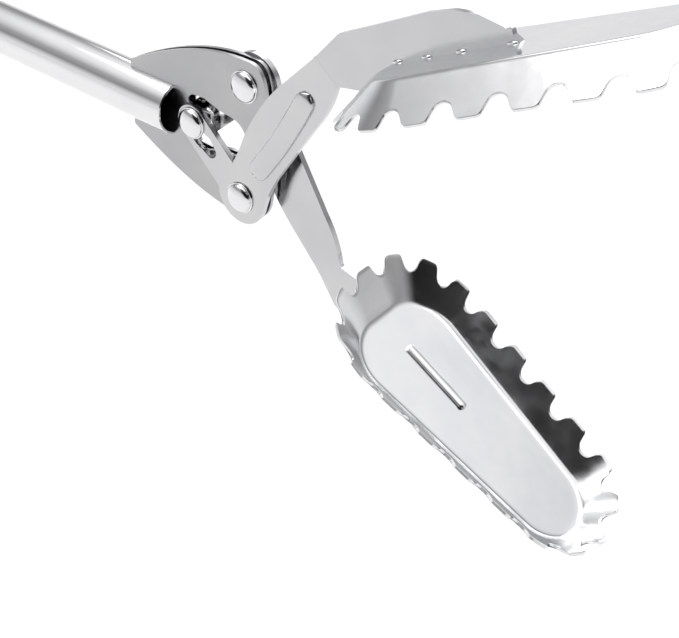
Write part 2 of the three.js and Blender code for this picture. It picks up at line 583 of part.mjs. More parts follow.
// ---------------------------------------------------------------- trigger and wire bail
function trigger() {
  const top = -CRANK + HUB_RADIUS - 1;
  const lever = new THREE.Shape();
  lever.moveTo(TRIGGER_X, -CRANK - HUB_RADIUS);
  lever.lineTo(TRIGGER_X, top);
  lever.lineTo(BAIL_X - 4, BAIL_Z + 8.3);
  lever.quadraticCurveTo(BAIL_X - 9, BAIL_Z + 8.3, BAIL_X - 9, BAIL_Z + 3.5);
  lever.lineTo(BAIL_X - 8, BAIL_Z - 7);
  lever.quadraticCurveTo(BAIL_X - 7, BAIL_Z - 12, BAIL_X - 1, BAIL_Z - 12);
  lever.quadraticCurveTo(BAIL_X + 30, BAIL_Z - 7, BAIL_X + 60, BAIL_Z - 6);
  lever.quadraticCurveTo(TRIGGER_X - 26, -CRANK - 9, TRIGGER_X, -CRANK - HUB_RADIUS);
  const panel = new THREE.Shape();
  panel.moveTo(TRIGGER_X - 16, -CRANK + 2);
  panel.lineTo(BAIL_X + 10, BAIL_Z + 5);
  panel.lineTo(BAIL_X + 10, BAIL_Z - 6);
  panel.quadraticCurveTo(BAIL_X + 50, BAIL_Z - 2.5, TRIGGER_X - 16, -CRANK - 5.4);
  const recesses = [prism(panel, -20, -TRIGGER_HALF_WIDTH + 1.2), prism(panel, TRIGGER_HALF_WIDTH - 1.2, 20)];
  const width = TRIGGER_HALF_WIDTH;
  const hub = crossCylinder(TRIGGER_X, -CRANK, HUB_RADIUS, -width, width, 32);
  const ears = [-1, 1].map((side) => {
    const [y0, y1] = side < 0 ? [-6.2, -3.2] : [3.2, 6.2];
    return Manifold.hull([crossCylinder(TRIGGER_X, -CRANK, 6.5, y0, y1), crossCylinder(LINK_X, 0, 5, y0, y1)]);
  });
  const turns = [0, 0.5, 1].map((share) => {
    const turn = share * TRIGGER_SWING;
    const dx = (share - 0.5) * ROD_TRAVEL;
    const x = TRIGGER_X + dx * Math.cos(turn) - CRANK * Math.sin(turn);
    const z = -CRANK + dx * Math.sin(turn) + CRANK * Math.cos(turn);
    return crossCylinder(x, z, LINK_PIN_RADIUS + 0.12, -9, 9, 28);
  });
  return cut(
    union(prism(lever, -width, width), hub, ears), recesses, Manifold.hull(turns),
    crossCylinder(TRIGGER_X, -CRANK, PIVOT_PIN_RADIUS + RUNNING_GAP, -20, 20),
    crossCylinder(BAIL_X, BAIL_Z, BAIL_RADIUS + 0.12, -20, 20),
  );
}

const BAIL_BEND = [BAIL_X - 15, BAIL_Z + 1];
const BAIL_TOP = [GRIP_REAR - 3.6, 10.4];

function wireBail() {
  const y = BAIL_HALF_WIDTH;
  const at = ([x, z], side) => new THREE.Vector3(x, side * y, z);
  const hole = [BAIL_X, BAIL_Z];
  return wire([at(hole, -1), at(BAIL_BEND, -1), at(BAIL_TOP, -1), at(BAIL_TOP, 1), at(BAIL_BEND, 1), at(hole, 1),
    at(hole, -1)], BAIL_RADIUS);
}

// ---------------------------------------------------------------- assembly
add('shaft_tube', shaftTube(), STEEL);
add('head_plate_front', headPlate(-1), PLATE_STEEL);
add('head_plate_rear', headPlate(1), PLATE_STEEL);
add('upper_pivot_rivet', rivet(HEAD_X, PIVOT_HEIGHT, PLATE_OUTER, HEAD_FACE), STEEL);
add('lower_pivot_rivet', rivet(HEAD_X, -PIVOT_HEIGHT, HEAD_FACE, PLATE_OUTER), STEEL);
add('upper_pivot_spacer', pivotSpacer(PIVOT_HEIGHT), STEEL);
add('lower_pivot_spacer', pivotSpacer(-PIVOT_HEIGHT), STEEL);

const arm = jawArm();
const bowl = scoop();
add('upper_jaw_arm', arm, STEEL);
add('upper_jaw_scoop', bowl, STEEL);
add('lower_jaw_arm', mirrored(arm), STEEL);
add('lower_jaw_scoop', mirrored(bowl), STEEL);

add('drive_pin', rivet(PIN_X, 0, HEAD_FACE, HEAD_FACE), STEEL);
add('rod_blade', rodBlade(), STEEL);
add('push_rod', pushRod(), STEEL);
add('rod_clevis', rodClevis(), STEEL);
add('link_pin', crossCylinder(LINK_X, 0, LINK_PIN_RADIUS, -7, 7), STEEL);
add('spring_seat', bush(SPRING_FRONT - SPRING_LENGTH - 4, SPRING_FRONT - SPRING_LENGTH, TUBE_BORE - 0.3, ROD_RADIUS), STEEL);
add('return_spring', returnSpring(), STEEL);
add('spring_stop_bush', bush(SPRING_FRONT, SPRING_FRONT + 8, TUBE_BORE - 0.02, ROD_RADIUS + RUNNING_GAP), BLACK_PLASTIC);
add('rod_guide_bush', bush(TUBE_REAR + 2, TUBE_REAR + 12, TUBE_BORE - 0.02, ROD_RADIUS + RUNNING_GAP), BLACK_PLASTIC);

add('collar', collar(), BLACK_PLASTIC);
add('grip_left_shell', gripHalf(-1), ORANGE_PLASTIC);
add('grip_right_shell', gripHalf(1), ORANGE_PLASTIC);
add('tube_cross_pin', crossCylinder(CROSS_PIN_X, CROSS_PIN_Z, SCREW_RADIUS, -10, 10), STEEL);
SCREWS.forEach((place, i) => add(`grip_screw_${i + 1}`, panelScrew(place), BLACK_STEEL));
add('trigger_pivot_pin', triggerPin(), BLACK_STEEL);
add('hanging_loop', hangingLoop(), ORANGE_PLASTIC);
add('end_cap', endCap(), BLACK_PLASTIC);
add('trigger', trigger(), BLACK_PLASTIC);
add('wire_bail', wireBail(), BLACK_STEEL);

export default group;
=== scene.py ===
"""Looks for the leaf grabber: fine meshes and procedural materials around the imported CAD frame."""

import json
import math

import bmesh
import bpy
from mathutils import Matrix, Vector


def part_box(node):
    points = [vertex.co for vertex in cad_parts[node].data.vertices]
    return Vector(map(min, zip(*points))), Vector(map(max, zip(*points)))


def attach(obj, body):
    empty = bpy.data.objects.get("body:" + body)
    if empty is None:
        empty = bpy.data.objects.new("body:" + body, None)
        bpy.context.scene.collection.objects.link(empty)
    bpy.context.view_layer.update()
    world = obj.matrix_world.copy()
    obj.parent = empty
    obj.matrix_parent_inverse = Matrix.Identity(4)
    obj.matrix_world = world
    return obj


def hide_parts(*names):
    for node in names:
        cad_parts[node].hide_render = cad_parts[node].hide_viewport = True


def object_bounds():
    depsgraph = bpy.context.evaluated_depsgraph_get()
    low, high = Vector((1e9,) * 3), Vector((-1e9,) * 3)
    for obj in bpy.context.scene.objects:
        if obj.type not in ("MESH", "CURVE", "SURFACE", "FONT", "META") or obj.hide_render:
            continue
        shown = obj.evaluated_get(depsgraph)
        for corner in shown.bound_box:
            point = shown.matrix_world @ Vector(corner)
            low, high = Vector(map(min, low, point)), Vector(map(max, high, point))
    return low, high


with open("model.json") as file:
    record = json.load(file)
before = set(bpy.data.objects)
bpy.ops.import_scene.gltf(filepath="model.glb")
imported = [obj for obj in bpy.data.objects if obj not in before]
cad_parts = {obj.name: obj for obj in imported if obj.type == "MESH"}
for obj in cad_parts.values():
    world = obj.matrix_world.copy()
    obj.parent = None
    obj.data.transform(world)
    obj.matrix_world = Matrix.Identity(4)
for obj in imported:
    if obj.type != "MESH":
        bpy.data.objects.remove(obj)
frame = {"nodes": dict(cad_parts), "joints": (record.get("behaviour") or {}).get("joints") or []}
CAD_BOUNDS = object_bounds()
MM = 0.001

# ---------------------------------------------------------------- sizes
WELD_DISTANCE = 0.002 * MM
TUBE_WALL = 0.8 * MM
PIN_RADIUS = 2.5 * MM  # the shank of a rivet
DOME_HEIGHT = 2.3 * MM  # its domed head
TAIL_HEIGHT = 1.4 * MM  # its set head
ARM_FACE = 3.75 * MM  # from the mid plane to the outer face of an arm
BAIL_WIRE_RADIUS = 1.5 * MM
OVAL_DROP = 4.2 * MM  # how far the grip's cheeks fall back at their top and bottom edges

# ---------------------------------------------------------------- places from the frame
JOINTS = {joint["name"]: joint for joint in frame["joints"]}
LOWER_PIVOT = Vector(JOINTS["upper_jaw_swing"]["pos_m"])
UPPER_PIVOT = Vector(JOINTS["lower_jaw_swing"]["pos_m"])
BAIL_PIVOT = Vector(JOINTS["bail_swing"]["pos_m"])
HEAD = (LOWER_PIVOT + UPPER_PIVOT) / 2
GRIP_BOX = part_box("grip_left_shell")


# ---------------------------------------------------------------- materials
class Nodes:
    """A short way to write a material's node tree."""

    def __init__(self, name, color, roughness, metallic=0.0):
        self.material = bpy.data.materials.new(name)
        self.material.use_nodes = True
        self.tree = self.material.node_tree
        self.shader = self.tree.nodes["Principled BSDF"]
        self.shader.inputs["Base Color"].default_value = (*color, 1)
        self.shader.inputs["Roughness"].default_value = roughness
        self.shader.inputs["Metallic"].default_value = metallic

    def node(self, kind, **values):
        made = self.tree.nodes.new(kind)
        for name, value in values.items():
            if name in made.inputs:
                made.inputs[name].default_value = value
            else:
                setattr(made, name, value)
        return made

    def link(self, source, target):
        self.tree.links.new(source, target)

    def noise(self, scale, detail=4.0, stretch=(1, 1, 1), roughness=0.6):
        """Noise in the piece's own coordinates, with features about 1/scale of a metre."""
        place = self.node("ShaderNodeTexCoord")
        size = self.node("ShaderNodeMapping")
        size.inputs["Scale"].default_value = stretch
        pattern = self.node("ShaderNodeTexNoise", Scale=scale, Detail=detail, Roughness=roughness)
        self.link(place.outputs["Object"], size.inputs["Vector"])
        self.link(size.outputs["Vector"], pattern.inputs["Vector"])
        return pattern.outputs["Fac"]

    def spread(self, value, low, high, source_low=0.3, source_high=0.7):
        ranged = self.node("ShaderNodeMapRange")
        self.link(value, ranged.inputs["Value"])
        ranged.inputs["From Min"].default_value = source_low
        ranged.inputs["From Max"].default_value = source_high
        ranged.inputs["To Min"].default_value = low
        ranged.inputs["To Max"].default_value = high
        return ranged.outputs["Result"]

    def vary_roughness(self, pattern, low, high):
        self.link(self.spread(pattern, low, high), self.shader.inputs["Roughness"])

    def vary_color(self, pattern, first, second):
        ramp = self.node("ShaderNodeValToRGB")
        ramp.color_ramp.elements[0].position = 0.3
        ramp.color_ramp.elements[1].position = 0.7
        ramp.color_ramp.elements[0].color = (*first, 1)
        ramp.color_ramp.elements[1].color = (*second, 1)
        self.link(pattern, ramp.inputs["Fac"])
        self.link(ramp.outputs["Color"], self.shader.inputs["Base Color"])

    def bump(self, pattern, strength, distance):
        raised = self.node("ShaderNodeBump", Strength=strength, Distance=distance)
        self.link(pattern, raised.inputs["Height"])
        self.link(raised.outputs["Normal"], self.shader.inputs["Normal"])


def polished_steel():
    m = Nodes("polished_steel", (0.80, 0.80, 0.80), 0.1, 1.0)
    m.vary_roughness(m.noise(90, stretch=(0.15, 1, 1)), 0.07, 0.15)
    m.vary_color(m.noise(25), (0.76, 0.765, 0.78), (0.85, 0.85, 0.85))
    m.bump(m.noise(1800, detail=2, stretch=(0.05, 1, 1)), 0.05, 0.05 * MM)
    return m.material


def sheet_steel():
    m = Nodes("sheet_steel", (0.80, 0.80, 0.80), 0.14, 1.0)
    m.vary_roughness(m.noise(120), 0.10, 0.2)
    m.vary_color(m.noise(35), (0.74, 0.75, 0.77), (0.84, 0.84, 0.84))
    m.bump(m.noise(220, detail=3), 0.12, 0.12 * MM)
    return m.material


def arm_steel():
    m = Nodes("arm_steel", (0.66, 0.66, 0.66), 0.16, 1.0)
    m.vary_roughness(m.noise(150, stretch=(0.2, 1, 1)), 0.12, 0.2)
    m.vary_color(m.noise(30), (0.54, 0.545, 0.56), (0.62, 0.62, 0.62))
    m.bump(m.noise(240, detail=3), 0.1, 0.1 * MM)
    return m.material


def plate_steel():
    m = Nodes("plate_steel", (0.45, 0.45, 0.45), 0.22, 1.0)
    m.vary_roughness(m.noise(150, stretch=(0.2, 1, 1)), 0.18, 0.28)
    m.vary_color(m.noise(40), (0.41, 0.415, 0.43), (0.48, 0.48, 0.48))
    m.bump(m.noise(2200, detail=2, stretch=(0.06, 1, 1)), 0.06, 0.05 * MM)
    return m.material


def orange_plastic():
    m = Nodes("orange_plastic", (0.88, 0.31, 0.06), 0.5)
    m.shader.inputs["Coat Weight"].default_value = 0.12
    m.shader.inputs["Coat Roughness"].default_value = 0.35
    m.shader.inputs["Specular IOR Level"].default_value = 0.45
    m.vary_color(m.noise(45), (0.86, 0.295, 0.055), (0.9, 0.325, 0.066))
    m.vary_roughness(m.noise(300), 0.42, 0.58)
    m.bump(m.noise(2600, detail=3), 0.25, 0.06 * MM)
    return m.material


def black_plastic():
    m = Nodes("black_plastic", (0.02, 0.02, 0.022), 0.42)
    m.vary_color(m.noise(80), (0.013, 0.013, 0.015), (0.028, 0.028, 0.03))
    m.vary_roughness(m.noise(260), 0.34, 0.5)
    m.bump(m.noise(1900, detail=3), 0.3, 0.07 * MM)
    return m.material


def black_wire():
    m = Nodes("black_wire", (0.03, 0.03, 0.033), 0.35, 0.6)
    m.vary_roughness(m.noise(500, stretch=(1, 1, 0.3)), 0.28, 0.45)
    m.vary_color(m.noise(200), (0.022, 0.022, 0.025), (0.045, 0.045, 0.05))
    m.bump(m.noise(2500), 0.15, 0.03 * MM)
    return m.material


STEEL = polished_steel()
SHEET = sheet_steel()
ARM = arm_steel()
PLATE = plate_steel()
ORANGE = orange_plastic()
BLACK = black_plastic()
WIRE = black_wire()


# ---------------------------------------------------------------- mesh helpers
def add_object(name, data):
    made = bpy.data.objects.new(name, data)
    bpy.context.scene.collection.objects.link(made)
    return made


def smooth_by_angle(mesh, angle=math.radians(38)):
    """Smooth shading, with sharp edges kept where faces meet at more than angle."""
    work = bmesh.new()
    work.from_mesh(mesh)
    for face in work.faces:
        face.smooth = True
    for edge in work.edges:
        edge.smooth = len(edge.link_faces) == 2 and edge.calc_face_angle(0) < angle
    work.to_mesh(mesh)
    work.free()


def new_piece(name, vertices, faces, material, body, *replaced):
    """A piece from plain vertices and faces, which rides on body and stands in for the replaced CAD nodes."""
    mesh = bpy.data.meshes.new(name)
    mesh.from_pydata([tuple(v) for v in vertices], [], faces)
    mesh.validate()
    return finish_piece(name, mesh, material, body, *replaced)


def finish_piece(name, mesh, material, body, *replaced):
    """Turns a mesh's faces outward, shades it, and adds it to the scene as a piece of body."""
    work = bmesh.new()
    work.from_mesh(mesh)
    bmesh.ops.recalc_face_normals(work, faces=work.faces)
    work.to_mesh(mesh)
    work.free()
    smooth_by_angle(mesh)
    mesh.materials.append(material)
    piece = add_object(name, mesh)
    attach(piece, body)
    if replaced:
        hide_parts(*replaced)
    return piece


def dress(node, material, bevel=None, segments=2):
    """A CAD node that stays: its split corners are welded, its edges can be eased, and it gets a material."""
    piece = frame["nodes"][node]
    piece.data.materials.clear()
    piece.data.materials.append(material)
    for polygon in piece.data.polygons:
        polygon.use_smooth = True
    weld = piece.modifiers.new("weld", "WELD")
    weld.merge_threshold = WELD_DISTANCE
    if bevel:
        ease = piece.modifiers.new("bevel", "BEVEL")
        ease.width = bevel
        ease.segments = segments
        ease.limit_method = "ANGLE"
        ease.angle_limit = math.radians(40)
        ease.use_clamp_overlap = True
        ease.harden_normals = False
    normals = piece.modifiers.new("normals", "WEIGHTED_NORMAL")
    normals.keep_sharp = True
    normals.weight = 80
    return piece


def lathe(name, profile, centre, axis, material, body, *replaced, steps=96):
    """A turned piece. Profile points are (radius, distance along axis) from centre, open ends on the axis."""
    axis = Vector(axis)
    side = axis.orthogonal().normalized()
    up = axis.cross(side)
    vertices, faces = [], []
    for radius, along in profile:
        for step in range(steps):
            turn = 2 * math.pi * step / steps
            offset = side * math.cos(turn) + up * math.sin(turn)
            vertices.append(centre + axis * along + offset * radius)
    for ring in range(len(profile) - 1):
        for step in range(steps):
            a = ring * steps + step
            b = ring * steps + (step + 1) % steps
            faces.append((a, b, b + steps, a + steps))
    mesh = bpy.data.meshes.new(name)
    mesh.from_pydata([tuple(v) for v in vertices], [], faces)
    work = bmesh.new()
    work.from_mesh(mesh)
    bmesh.ops.remove_doubles(work, verts=work.verts, dist=0.001 * MM)
    work.to_mesh(mesh)
    work.free()
    return finish_piece(name, mesh, material, body, *replaced)


def arc_points(centre_radius, centre_along, radius, start, end, steps=8):
    """Points of a fillet for a lathe profile, angles in degrees from the radial direction."""
    points = []
    for step in range(steps + 1):
        turn = math.radians(start + (end - start) * step / steps)
        points.append((centre_radius + radius * math.cos(turn), centre_along + radius * math.sin(turn)))
    return points


# ---------------------------------------------------------------- tube
def shaft_tube():
    """The tube, with eased ends and the slit that holds the head plates cut into its mouth."""
    low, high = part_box("shaft_tube")
    radius = (high.z - low.z) / 2
    bore = radius - TUBE_WALL
    ease = 0.15 * MM
    length = high.x - low.x
    profile = [
        (bore, 0), (radius - ease, 0), (radius, ease), (radius, length - ease),
        (radius - ease, length), (bore + ease, length), (bore, length - ease), (bore, 0),
    ]
    tube = lathe("tube", profile, Vector((low.x, 0, 0)), (1, 0, 0), STEEL, "handle", "shaft_tube", steps=160)
    plate_low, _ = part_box("head_plate_front")
    slit_width = -2 * plate_low.y
    slit_end = high.x + 2 * MM
    cutter_mesh = bpy.data.meshes.new("slit")
    work = bmesh.new()
    bmesh.ops.create_cube(work, size=1)
    size = Matrix.Diagonal((slit_end - plate_low.x, slit_width, 4 * radius, 1))
    place = Matrix.Translation(((slit_end + plate_low.x) / 2, 0, 0))
    work.transform(place @ size)
    work.to_mesh(cutter_mesh)
    work.free()
    cutter = add_object("slit", cutter_mesh)
    cut = tube.modifiers.new("slit", "BOOLEAN")
    cut.operation = "DIFFERENCE"
    cut.object = cutter
    cut.solver = "EXACT"
    depsgraph = bpy.context.evaluated_depsgraph_get()
    carved = bpy.data.meshes.new_from_object(tube.evaluated_get(depsgraph))
    tube.modifiers.clear()
    tube.data = carved
    bpy.data.objects.remove(cutter)
    smooth_by_angle(tube.data)


# ---------------------------------------------------------------- rivets
def rivet(node, body):
    """A domed rivet with a thin flange, and its set head behind."""
    low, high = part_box(node)
    radius = (high.z - low.z) / 2
    centre = (low + high) / 2
    centre.y = low.y
    depth = high.y - low.y
    dome_radius = radius * 0.93
    flange = 0.45 * MM
    ease = 0.2 * MM
    steps = 14
    head = []
    for step in range(steps + 1):
        turn = math.radians(90 * step / steps)
        head.append((dome_radius * math.sin(turn), (DOME_HEIGHT - flange) * (1 - math.cos(turn))))
    head += arc_points(radius - ease, DOME_HEIGHT - flange + ease, ease, -90, 0, 4)
    back = depth - TAIL_HEIGHT
    shank = [(radius, DOME_HEIGHT), (PIN_RADIUS, DOME_HEIGHT), (PIN_RADIUS, back)]
    set_head = [
        (radius * 0.82, back), (radius * 0.82, back + 0.3 * MM), (radius * 0.72, back + 0.9 * MM),
        (radius * 0.45, depth - 0.1 * MM), (0, depth),
    ]
    profile = head + shank + set_head
    return lathe("dome_" + node, profile, centre, (0, 1, 0), STEEL, body, node, steps=72)


# ---------------------------------------------------------------- scoops
SEAM = Vector((58, 0, 45)) * MM  # a point of the weld seam from the head's centre
SCOOP_ANGLE = math.radians(25)
ALONG = Vector((math.cos(SCOOP_ANGLE), 0, math.sin(SCOOP_ANGLE)))  # along the upper scoop's floor
INWARD = Vector((math.sin(SCOOP_ANGLE), 0, -math.cos(SCOOP_ANGLE)))  # from its back into the scoop
FLOOR_REAR, FLOOR_TIP = -11 * MM, 66 * MM
HALF_WIDTH, REAR_ROUND, TIP_ROUND = 17 * MM, 12 * MM, 11.5 * MM
SIDE_FLARE, REAR_FLARE, TIP_FLARE = 9.5 * MM, 14.5 * MM, 8 * MM
TOOTH_TIP, TOOTH_LENGTH, TEETH = 9 * MM, 4.6 * MM, 20
GULLET_ROUND, SHOULDER_ROUND = 2.7 * MM, 1.5 * MM
SHEET_THICKNESS = 1.2 * MM
FOLD_TOP = Vector((25, 34.4)) * MM  # the ends of the bend in an arm
FOLD_BOTTOM = Vector((32.4, 29)) * MM
FOLD_ANGLE = math.radians(3.2)
ARM_MIDDLE = 2.875 * MM  # from the mid plane to the middle of an arm's sheet


def leaned(spot, side):
    """Where the bend in the arm, and the side of its jaw, put a point given for a straight upper arm."""
    fold = (FOLD_BOTTOM - FOLD_TOP).normalized()
    from_fold = (spot.z - FOLD_TOP.y) * fold.x - (spot.x - HEAD.x - FOLD_TOP.x) * fold.y
    y = spot.y - ARM_MIDDLE + from_fold * math.tan(FOLD_ANGLE)
    return Vector((spot.x, side * y, side * spot.z))


def half_edge():
    """(place, outward) along half of the floor's edge, from the middle of the rear to the tip."""
    steps = 60
    rear = Vector((FLOOR_REAR + REAR_ROUND, HALF_WIDTH - REAR_ROUND))
    tip = Vector((FLOOR_TIP - TIP_ROUND, 0))
    run = tip - rear
    side_turn = math.atan2(run.y, run.x) + math.acos((REAR_ROUND - TIP_ROUND) / run.length)
    edge = [(Vector((FLOOR_REAR, rear.y * step / steps)), Vector((-1, 0))) for step in range(steps)]
    corners = ((rear, REAR_ROUND, math.pi, side_turn), (tip, TIP_ROUND, side_turn, 0))
    for centre, radius, start, end in corners:
        for step in range(steps + 1):
            turn = start + (end - start) * step / steps
            outward = Vector((math.cos(turn), math.sin(turn)))
            edge.append((centre + outward * radius, outward))
    return edge


def flare(outward):
    """How far the wall reaches out over the depth of a tooth's tip, where its edge faces outward."""
    end = REAR_FLARE if outward.x < 0 else TIP_FLARE
    return SIDE_FLARE + (end - SIDE_FLARE) * outward.x**2


def scoop_edge(count):
    """Points (place, outward) round the floor's edge, evenly spaced along the rim, and a tooth's width."""
    half = half_edge()
    rim = [place + outward * flare(outward) for place, outward in half]
    walked = [0.0]
    for before, after in zip(rim, rim[1:]):
        walked.append(walked[-1] + (after - before).length)
    pitch = 2 * walked[-1] / TEETH
    points = []
    for i in range(count):
        share = 2 * i / count
        side = 1 if share <= 1 else -1
        goal = (share if share <= 1 else 2 - share) * walked[-1]
        after = next(k for k, length in enumerate(walked) if length >= goal - 1e-12 and k > 0)
        part = (goal - walked[after - 1]) / (walked[after] - walked[after - 1])
        place, outward = (a.lerp(b, part) for a, b in zip(half[after - 1], half[after]))
        points.append((Vector((place.x, place.y * side)), Vector((outward.x, outward.y * side)).normalized()))
    return points, pitch


def rim_depth(phase, reach, pitch):
    """Depth of the rim along one tooth, from gullet to gullet, on a wall that flares out by reach."""
    steep = math.radians(70)
    from_gullet = min(phase, 1 - phase) * pitch
    round_end = GULLET_ROUND * math.sin(steep)
    bottom = GULLET_ROUND * (1 - math.cos(steep))
    shoulder = SHOULDER_ROUND * (1 - math.cos(steep))
    flank = (TOOTH_LENGTH - bottom - shoulder) / math.tan(steep)
    flat_start = round_end + flank + SHOULDER_ROUND * math.sin(steep)
    if from_gullet < round_end:
        height = GULLET_ROUND - math.sqrt(GULLET_ROUND ** 2 - from_gullet ** 2)
    elif from_gullet < round_end + flank:
        height = bottom + (from_gullet - round_end) * math.tan(steep)
    else:
        short = max(0.0, flat_start - from_gullet)
        height = TOOTH_LENGTH - SHOULDER_ROUND + math.sqrt(SHOULDER_ROUND ** 2 - short ** 2)
    return TOOTH_TIP * (1 - (TOOTH_LENGTH - height) / math.hypot(reach, TOOTH_TIP))


def scoop(name, node, body, side):
    """A pressed scoop: flat floor, bent foot, and a flared wall cut into round-ended teeth."""
    per_tooth = 30
    count = TEETH * per_tooth
    edge, pitch = scoop_edge(count)
    bend = 1.2 * MM  # how far the bend between floor and wall reaches
    bend_turns = [step / 6 for step in range(7)]
    floor_shares, wall_shares = (0.5, 0.8, 0.95), (0.1, 0.4, 0.7, 0.9)
    middle = Vector(((FLOOR_REAR + FLOOR_TIP) / 2, 0))

    def place(flat, depth):
        spot = HEAD + SEAM + ALONG * flat.x + Vector((0, flat.y, 0)) + INWARD * depth
        return leaned(spot, side)

    def floor_spot(i, share, offset):
        point, outward = edge[i]
        corner = flare(outward) * offset / TOOTH_TIP - offset
        return place(middle.lerp(point + outward * (corner - bend), share), offset)

    def bend_spot(i, turn, offset):
        point, outward = edge[i]
        slope = math.atan2(TOOTH_TIP, flare(outward))
        corner = flare(outward) * offset / TOOTH_TIP - offset
        reach = corner - bend * (1 - turn) ** 2 + bend * math.cos(slope) * turn ** 2
        return place(point + outward * reach, offset + bend * math.sin(slope) * turn ** 2)

    def wall_spot(i, share, inset, back=0.0):
        point, outward = edge[i]
        reach = flare(outward)
        foot = bend + inset
        phase = ((i + per_tooth // 2) % per_tooth) / per_tooth
        depth = foot + (rim_depth(phase, reach, pitch) - foot) * share - back
        return place(point + outward * (reach * depth / TOOTH_TIP - inset), depth)

    face_of_sheet = []
    for offset in (0.0, SHEET_THICKNESS):
        rings = [[floor_spot(i, share, offset) for i in range(count)] for share in floor_shares]
        rings += [[bend_spot(i, turn, offset) for i in range(count)] for turn in bend_turns]
        rings += [[wall_spot(i, share, offset) for i in range(count)] for share in wall_shares]
        face_of_sheet.append(rings)
    outer, inner = face_of_sheet
    # (inset from the outer face, depth taken off the rim), in mm: square to the wall, with eased corners
    lip = [(0, 0.8), (0.12, 0.62), (1.08, 0.02), (1.2, 0.1)]
    rim = [[wall_spot(i, 1, inset * MM, back * MM) for i in range(count)] for inset, back in lip]
    rings = outer + rim + inner[::-1]
    vertices = [spot for ring in rings for spot in ring]
    faces = []
    for first in range(len(rings) - 1):
        for i in range(count):
            j = (i + 1) % count
            a, b = first * count + i, first * count + j
            faces.append((a, b, b + count, a + count))
    last = (len(rings) - 1) * count
    vertices += [floor_spot(0, 0.0, 0.0), floor_spot(0, 0.0, SHEET_THICKNESS)]
    for i in range(count):
        j = (i + 1) % count
        faces.append((len(vertices) - 2, j, i))
        faces.append((len(vertices) - 1, last + i, last + j))
    new_piece(name, vertices, faces, SHEET, body, node)


# ---------------------------------------------------------------- arms
def raised_bead(name, centre_line, half_width, height, normal, material, body):
    """A long raised bead with steep sides and round ends, along evenly spaced points."""
    across_steps = 16
    last = len(centre_line) - 1
    spacing = (centre_line[1] - centre_line[0]).length
    vertices, faces = [], []
    for k, spot in enumerate(centre_line):
        ahead = (centre_line[min(k + 1, last)] - centre_line[max(k - 1, 0)]).normalized()
        across = ahead.cross(normal)
        from_end = min(1.0, (min(k, last - k) * spacing) / half_width)
        taper = max(0.02, math.sqrt(1 - (1 - from_end) ** 2))
        for step in range(across_steps + 1):
            turn = math.pi * step / across_steps
            rise = height * taper ** 0.5 * math.sin(turn) ** 0.5
            vertices.append(spot - across * half_width * taper * math.cos(turn) + normal * rise)
    row = across_steps + 1
    for k in range(last):
        for step in range(across_steps):
            a = k * row + step
            faces.append((a, a + 1, a + row + 1, a + row))
        faces.append((k * row, (k + 1) * row, (k + 1) * row + across_steps, k * row + across_steps))
    return new_piece(name, vertices, faces, material, body)


def arm_bead(name, body, side):
    """The long stiffening bead pressed into the arm's flat web."""
    start_x, start_z, sag = 5.4, -7.5, 1.6  # mm from the head's centre, on the upper arm
    run, rise = 18.6, 31.5
    steps = 40
    points = []
    for step in range(steps + 1):
        t = step / steps
        x = start_x + run * t
        z = start_z + rise * t - sag * math.sin(math.pi * t)
        points.append(HEAD + Vector((x * MM, -side * ARM_FACE, side * z * MM)))
    half_width, height = 3.1 * MM, 1.35 * MM
    raised_bead(name, points, half_width, height, Vector((0, -side, 0)), ARM, body)


def tab_weld(name, body, side):
    """The rounded, ground weld over the arm's tab where it comes through the scoop's floor."""
    start, length = -0.8 * MM, 23.6 * MM
    half_width, height, sunk = 1.5 * MM, 1.25 * MM, 0.05 * MM
    steps = 48
    points = []
    for step in range(steps + 1):
        s = start + length * step / steps
        points.append(leaned(HEAD + SEAM + ALONG * s + INWARD * (SHEET_THICKNESS - sunk), side))
    normal = Vector((INWARD.x, 0, side * INWARD.z))
    raised_bead(name, points, half_width, height, normal, STEEL, body)


def weld_spots(name, body, side):
    """Small flattened beads of weld where the fin meets the scoop's back."""
    spots_along = (-10, -1.5, 8, 21.5)  # mm from the seam's point
    raised, aside = 0.1 * MM, 0.9 * MM
    size = Matrix.Diagonal((1.5 * MM, 0.7 * MM, 0.5 * MM, 1))
    turn = Matrix.Rotation(-side * SCOOP_ANGLE, 4, "Y")
    work = bmesh.new()
    for s in spots_along:
        for face in (-1, 1):
            centre = HEAD + SEAM + ALONG * s * MM - INWARD * raised + Vector((0, face * aside, 0))
            shape = Matrix.Translation(leaned(centre, side)) @ turn @ size
            bmesh.ops.create_uvsphere(work, u_segments=16, v_segments=10, radius=1, matrix=shape)
    mesh = bpy.data.meshes.new(name)
    work.to_mesh(mesh)
    work.free()
    return finish_piece(name, mesh, STEEL, body)


# ---------------------------------------------------------------- grip
def remeshed(node, name, material, body):
    """A smooth moulded copy of a CAD node: remeshed finely and relaxed, so that its edges go soft."""
    source = frame["nodes"][node]
    mesh = source.data.copy()
    piece = add_object(name, mesh)
    mesh.materials.clear()
    weld = piece.modifiers.new("weld", "WELD")
    weld.merge_threshold = WELD_DISTANCE
    grid = piece.modifiers.new("remesh", "REMESH")
    grid.mode = "VOXEL"
    grid.voxel_size = 0.7 * MM
    relax = piece.modifiers.new("relax", "SMOOTH")
    relax.factor = 0.5
    relax.iterations = 8
    depsgraph = bpy.context.evaluated_depsgraph_get()
    baked = bpy.data.meshes.new_from_object(piece.evaluated_get(depsgraph))
    piece.modifiers.clear()
    piece.data = baked
    for polygon in baked.polygons:
        polygon.use_smooth = True
    baked.materials.clear()
    baked.materials.append(material)
    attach(piece, body)
    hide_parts(node)
    return piece


